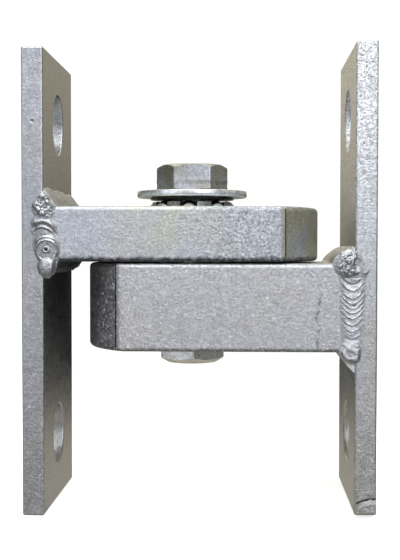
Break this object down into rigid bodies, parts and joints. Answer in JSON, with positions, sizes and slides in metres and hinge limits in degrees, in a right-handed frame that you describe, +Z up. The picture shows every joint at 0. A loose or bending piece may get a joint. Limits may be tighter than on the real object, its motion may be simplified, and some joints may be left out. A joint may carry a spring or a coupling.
{
  "type": "bolt-on gate hinge",
  "caption": "Heavy bolt-on gate hinge: two drilled strap plates with welded arms lapped on a vertical pivot bolt between thrust ball bearings.",
  "frame": {"origin": "centre of the box's footprint, on the lower end of the gate leaf's plate", "axes": "+Z up along the pivot bolt; +X from the gate leaf's plate to the post leaf's plate; Y across the width of the plates, symmetric about Y=0 apart from the bolt's and nut's hexagons and the balls"},
  "size_m": [0.153, 0.0826, 0.2048],
  "materials": {
    "zinc_plate": "bright zinc over mill-scale steel, fine spangle with a faint yellow-blue passivate tint",
    "zinc_weld": "rippled weld metal under zinc, semi-gloss",
    "zinc_fastener": "zinc plated fastener, satin",
    "bearing_race": "dark oiled steel",
    "bearing_ball": "polished steel ball",
    "bearing_cage": "pressed steel, dull"
  },
  "bodies": {
    "post_leaf": {"post_plate": "zinc_plate", "post_arm": "zinc_plate", "post_weld_front": "zinc_weld", "post_weld_back": "zinc_weld", "post_weld_top": "zinc_weld", "post_weld_bottom": "zinc_weld", "pivot_bolt": "zinc_fastener", "flat_washer": "zinc_fastener", "pivot_nut": "zinc_fastener", "top_bearing_upper_race": "bearing_race", "lower_bearing_lower_race": "bearing_race"},
    "gate_leaf": {"gate_plate": "zinc_plate", "gate_arm": "zinc_plate", "gate_weld_front": "zinc_weld", "gate_weld_back": "zinc_weld", "gate_weld_top": "zinc_weld", "gate_weld_bottom": "zinc_weld", "top_bearing_lower_race": "bearing_race", "lower_bearing_upper_race": "bearing_race"},
    "top_cage": {"top_bearing_cage": "bearing_cage", "top_bearing_ball_1": "bearing_ball", "top_bearing_ball_2": "bearing_ball", "top_bearing_ball_3": "bearing_ball", "top_bearing_ball_4": "bearing_ball", "top_bearing_ball_5": "bearing_ball", "top_bearing_ball_6": "bearing_ball", "top_bearing_ball_7": "bearing_ball", "top_bearing_ball_8": "bearing_ball"},
    "lower_cage": {"lower_bearing_cage": "bearing_cage", "lower_bearing_ball_1": "bearing_ball", "lower_bearing_ball_2": "bearing_ball", "lower_bearing_ball_3": "bearing_ball", "lower_bearing_ball_4": "bearing_ball", "lower_bearing_ball_5": "bearing_ball", "lower_bearing_ball_6": "bearing_ball", "lower_bearing_ball_7": "bearing_ball", "lower_bearing_ball_8": "bearing_ball"}
  },
  "joints": [
    {"name": "hinge_swing", "type": "hinge", "parent": "post_leaf", "child": "gate_leaf", "pos_m": [-0.0046, 0, 0.11025], "axis": [0, 0, 1], "range_deg": [-110, 110]},
    {"name": "top_cage_roll", "type": "hinge", "parent": "post_leaf", "child": "top_cage", "pos_m": [-0.0046, 0, 0.11025], "axis": [0, 0, 1], "range_deg": [-55, 55]},
    {"name": "lower_cage_roll", "type": "hinge", "parent": "post_leaf", "child": "lower_cage", "pos_m": [-0.0046, 0, 0.11025], "axis": [0, 0, 1], "range_deg": [-55, 55]}
  ],
  "couplings": [
    {"joint": "top_cage_roll", "follows": "hinge_swing", "ratio": 0.5},
    {"joint": "lower_cage_roll", "follows": "hinge_swing", "ratio": 0.5}
  ]
}
